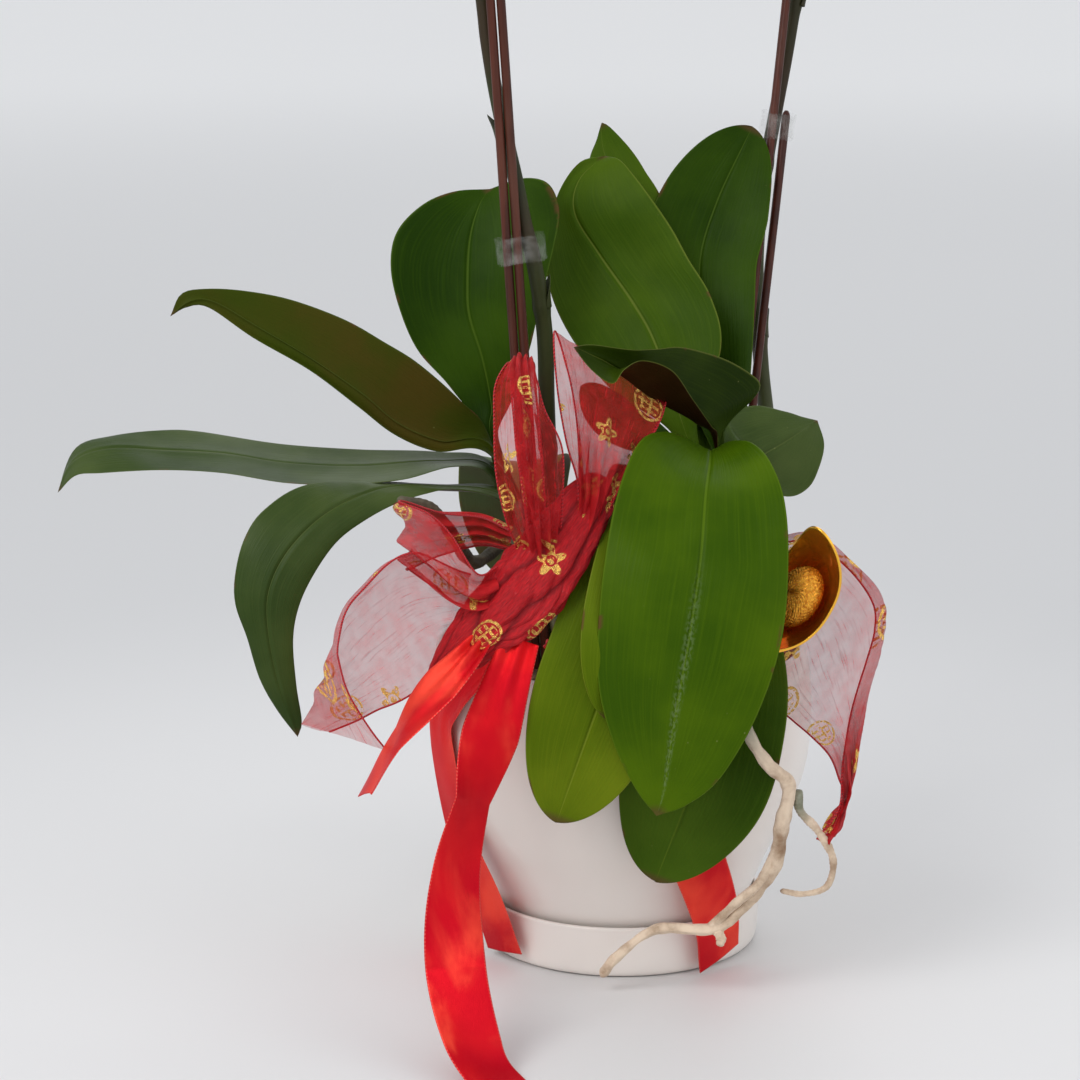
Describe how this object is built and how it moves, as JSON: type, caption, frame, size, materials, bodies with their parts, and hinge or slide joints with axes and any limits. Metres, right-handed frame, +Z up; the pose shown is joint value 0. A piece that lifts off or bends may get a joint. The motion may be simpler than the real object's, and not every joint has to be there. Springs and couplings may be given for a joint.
{
  "type": "potted orchid",
  "caption": "Moth orchid plants with staked arching flower spikes in a round ceramic pot and saucer, dressed with a sheer ribbon bow, a satin ribbon and a gold boat ornament.",
  "frame": {"origin": "the middle of the saucer's flat underside", "axes": "+Z up, +X to the right of the bow, -Y towards the front where the bow and the hanging leaves are"},
  "size_m": [0.519, 0.3295, 0.6603],
  "materials": {
    "glazed_ceramic": "warm white satin glaze",
    "bark": "rough chipped orchid bark",
    "leaf": "thick waxy leaf, dark green above and maroon below",
    "leaf_young": "thick waxy leaf, bright yellow-green",
    "stem": "smooth green to dark maroon stem",
    "petal": "soft matt magenta petal",
    "stake": "red-brown painted cane, half gloss",
    "clear_tape": "clear glossy tape",
    "root": "dry grey-green to tan root skin",
    "sheer_ribbon": "sheer organza with corded edges and gold foil prints",
    "satin_ribbon": "bright red satin with picot edges",
    "gold_plastic": "mirror gold plated plastic",
    "gold_glitter": "coarse gold glitter"
  },
  "bodies": {
    "root": {"pot": "glazed_ceramic", "saucer": "glazed_ceramic", "potting_bark": "bark", "leaf_left_upper": "leaf", "leaf_left_middle": "leaf", "leaf_left_lower": "leaf", "leaf_back_left": "leaf", "leaf_back_center": "leaf", "leaf_back_tip": "leaf", "leaf_back_right": "leaf", "leaf_curled": "leaf", "leaf_front": "leaf", "leaf_right": "leaf", "leaf_hidden_center": "leaf", "leaf_rear_left": "leaf", "leaf_rear_right": "leaf", "leaf_front_yellow": "leaf_young", "leaf_front_left": "leaf_young", "leaf_front_lower": "leaf_young", "crown_left": "stem", "crown_right": "stem", "spike_left": "stem", "spike_right": "stem", "bloom_left_1": "petal", "bloom_left_2": "petal", "bloom_left_3": "petal", "bloom_left_4": "petal", "bloom_left_5": "petal", "bloom_left_6": "petal", "bloom_left_7": "petal", "bloom_right_1": "petal", "bloom_right_2": "petal", "bloom_right_3": "petal", "bloom_right_4": "petal", "bloom_right_5": "petal", "bloom_right_6": "petal", "bloom_right_7": "petal", "stake_left_outer": "stake", "stake_left_inner": "stake", "stake_right_tall": "stake", "stake_right_short": "stake", "tape_left": "clear_tape", "tape_right": "clear_tape", "aerial_root_long": "root", "aerial_root_wiry": "root", "aerial_root_short": "root", "bow_loop_tall": "sheer_ribbon", "bow_loop_broad": "sheer_ribbon", "bow_loop_small": "sheer_ribbon", "bow_tail_left": "sheer_ribbon", "bow_tail_right": "sheer_ribbon", "bow_knot": "sheer_ribbon", "satin_tail_long": "satin_ribbon", "satin_tail_short": "satin_ribbon", "satin_band_left": "satin_ribbon", "satin_band_right": "satin_ribbon", "ingot_boat": "gold_plastic", "ingot_glitter": "gold_glitter"}
  },
  "joints": []
}
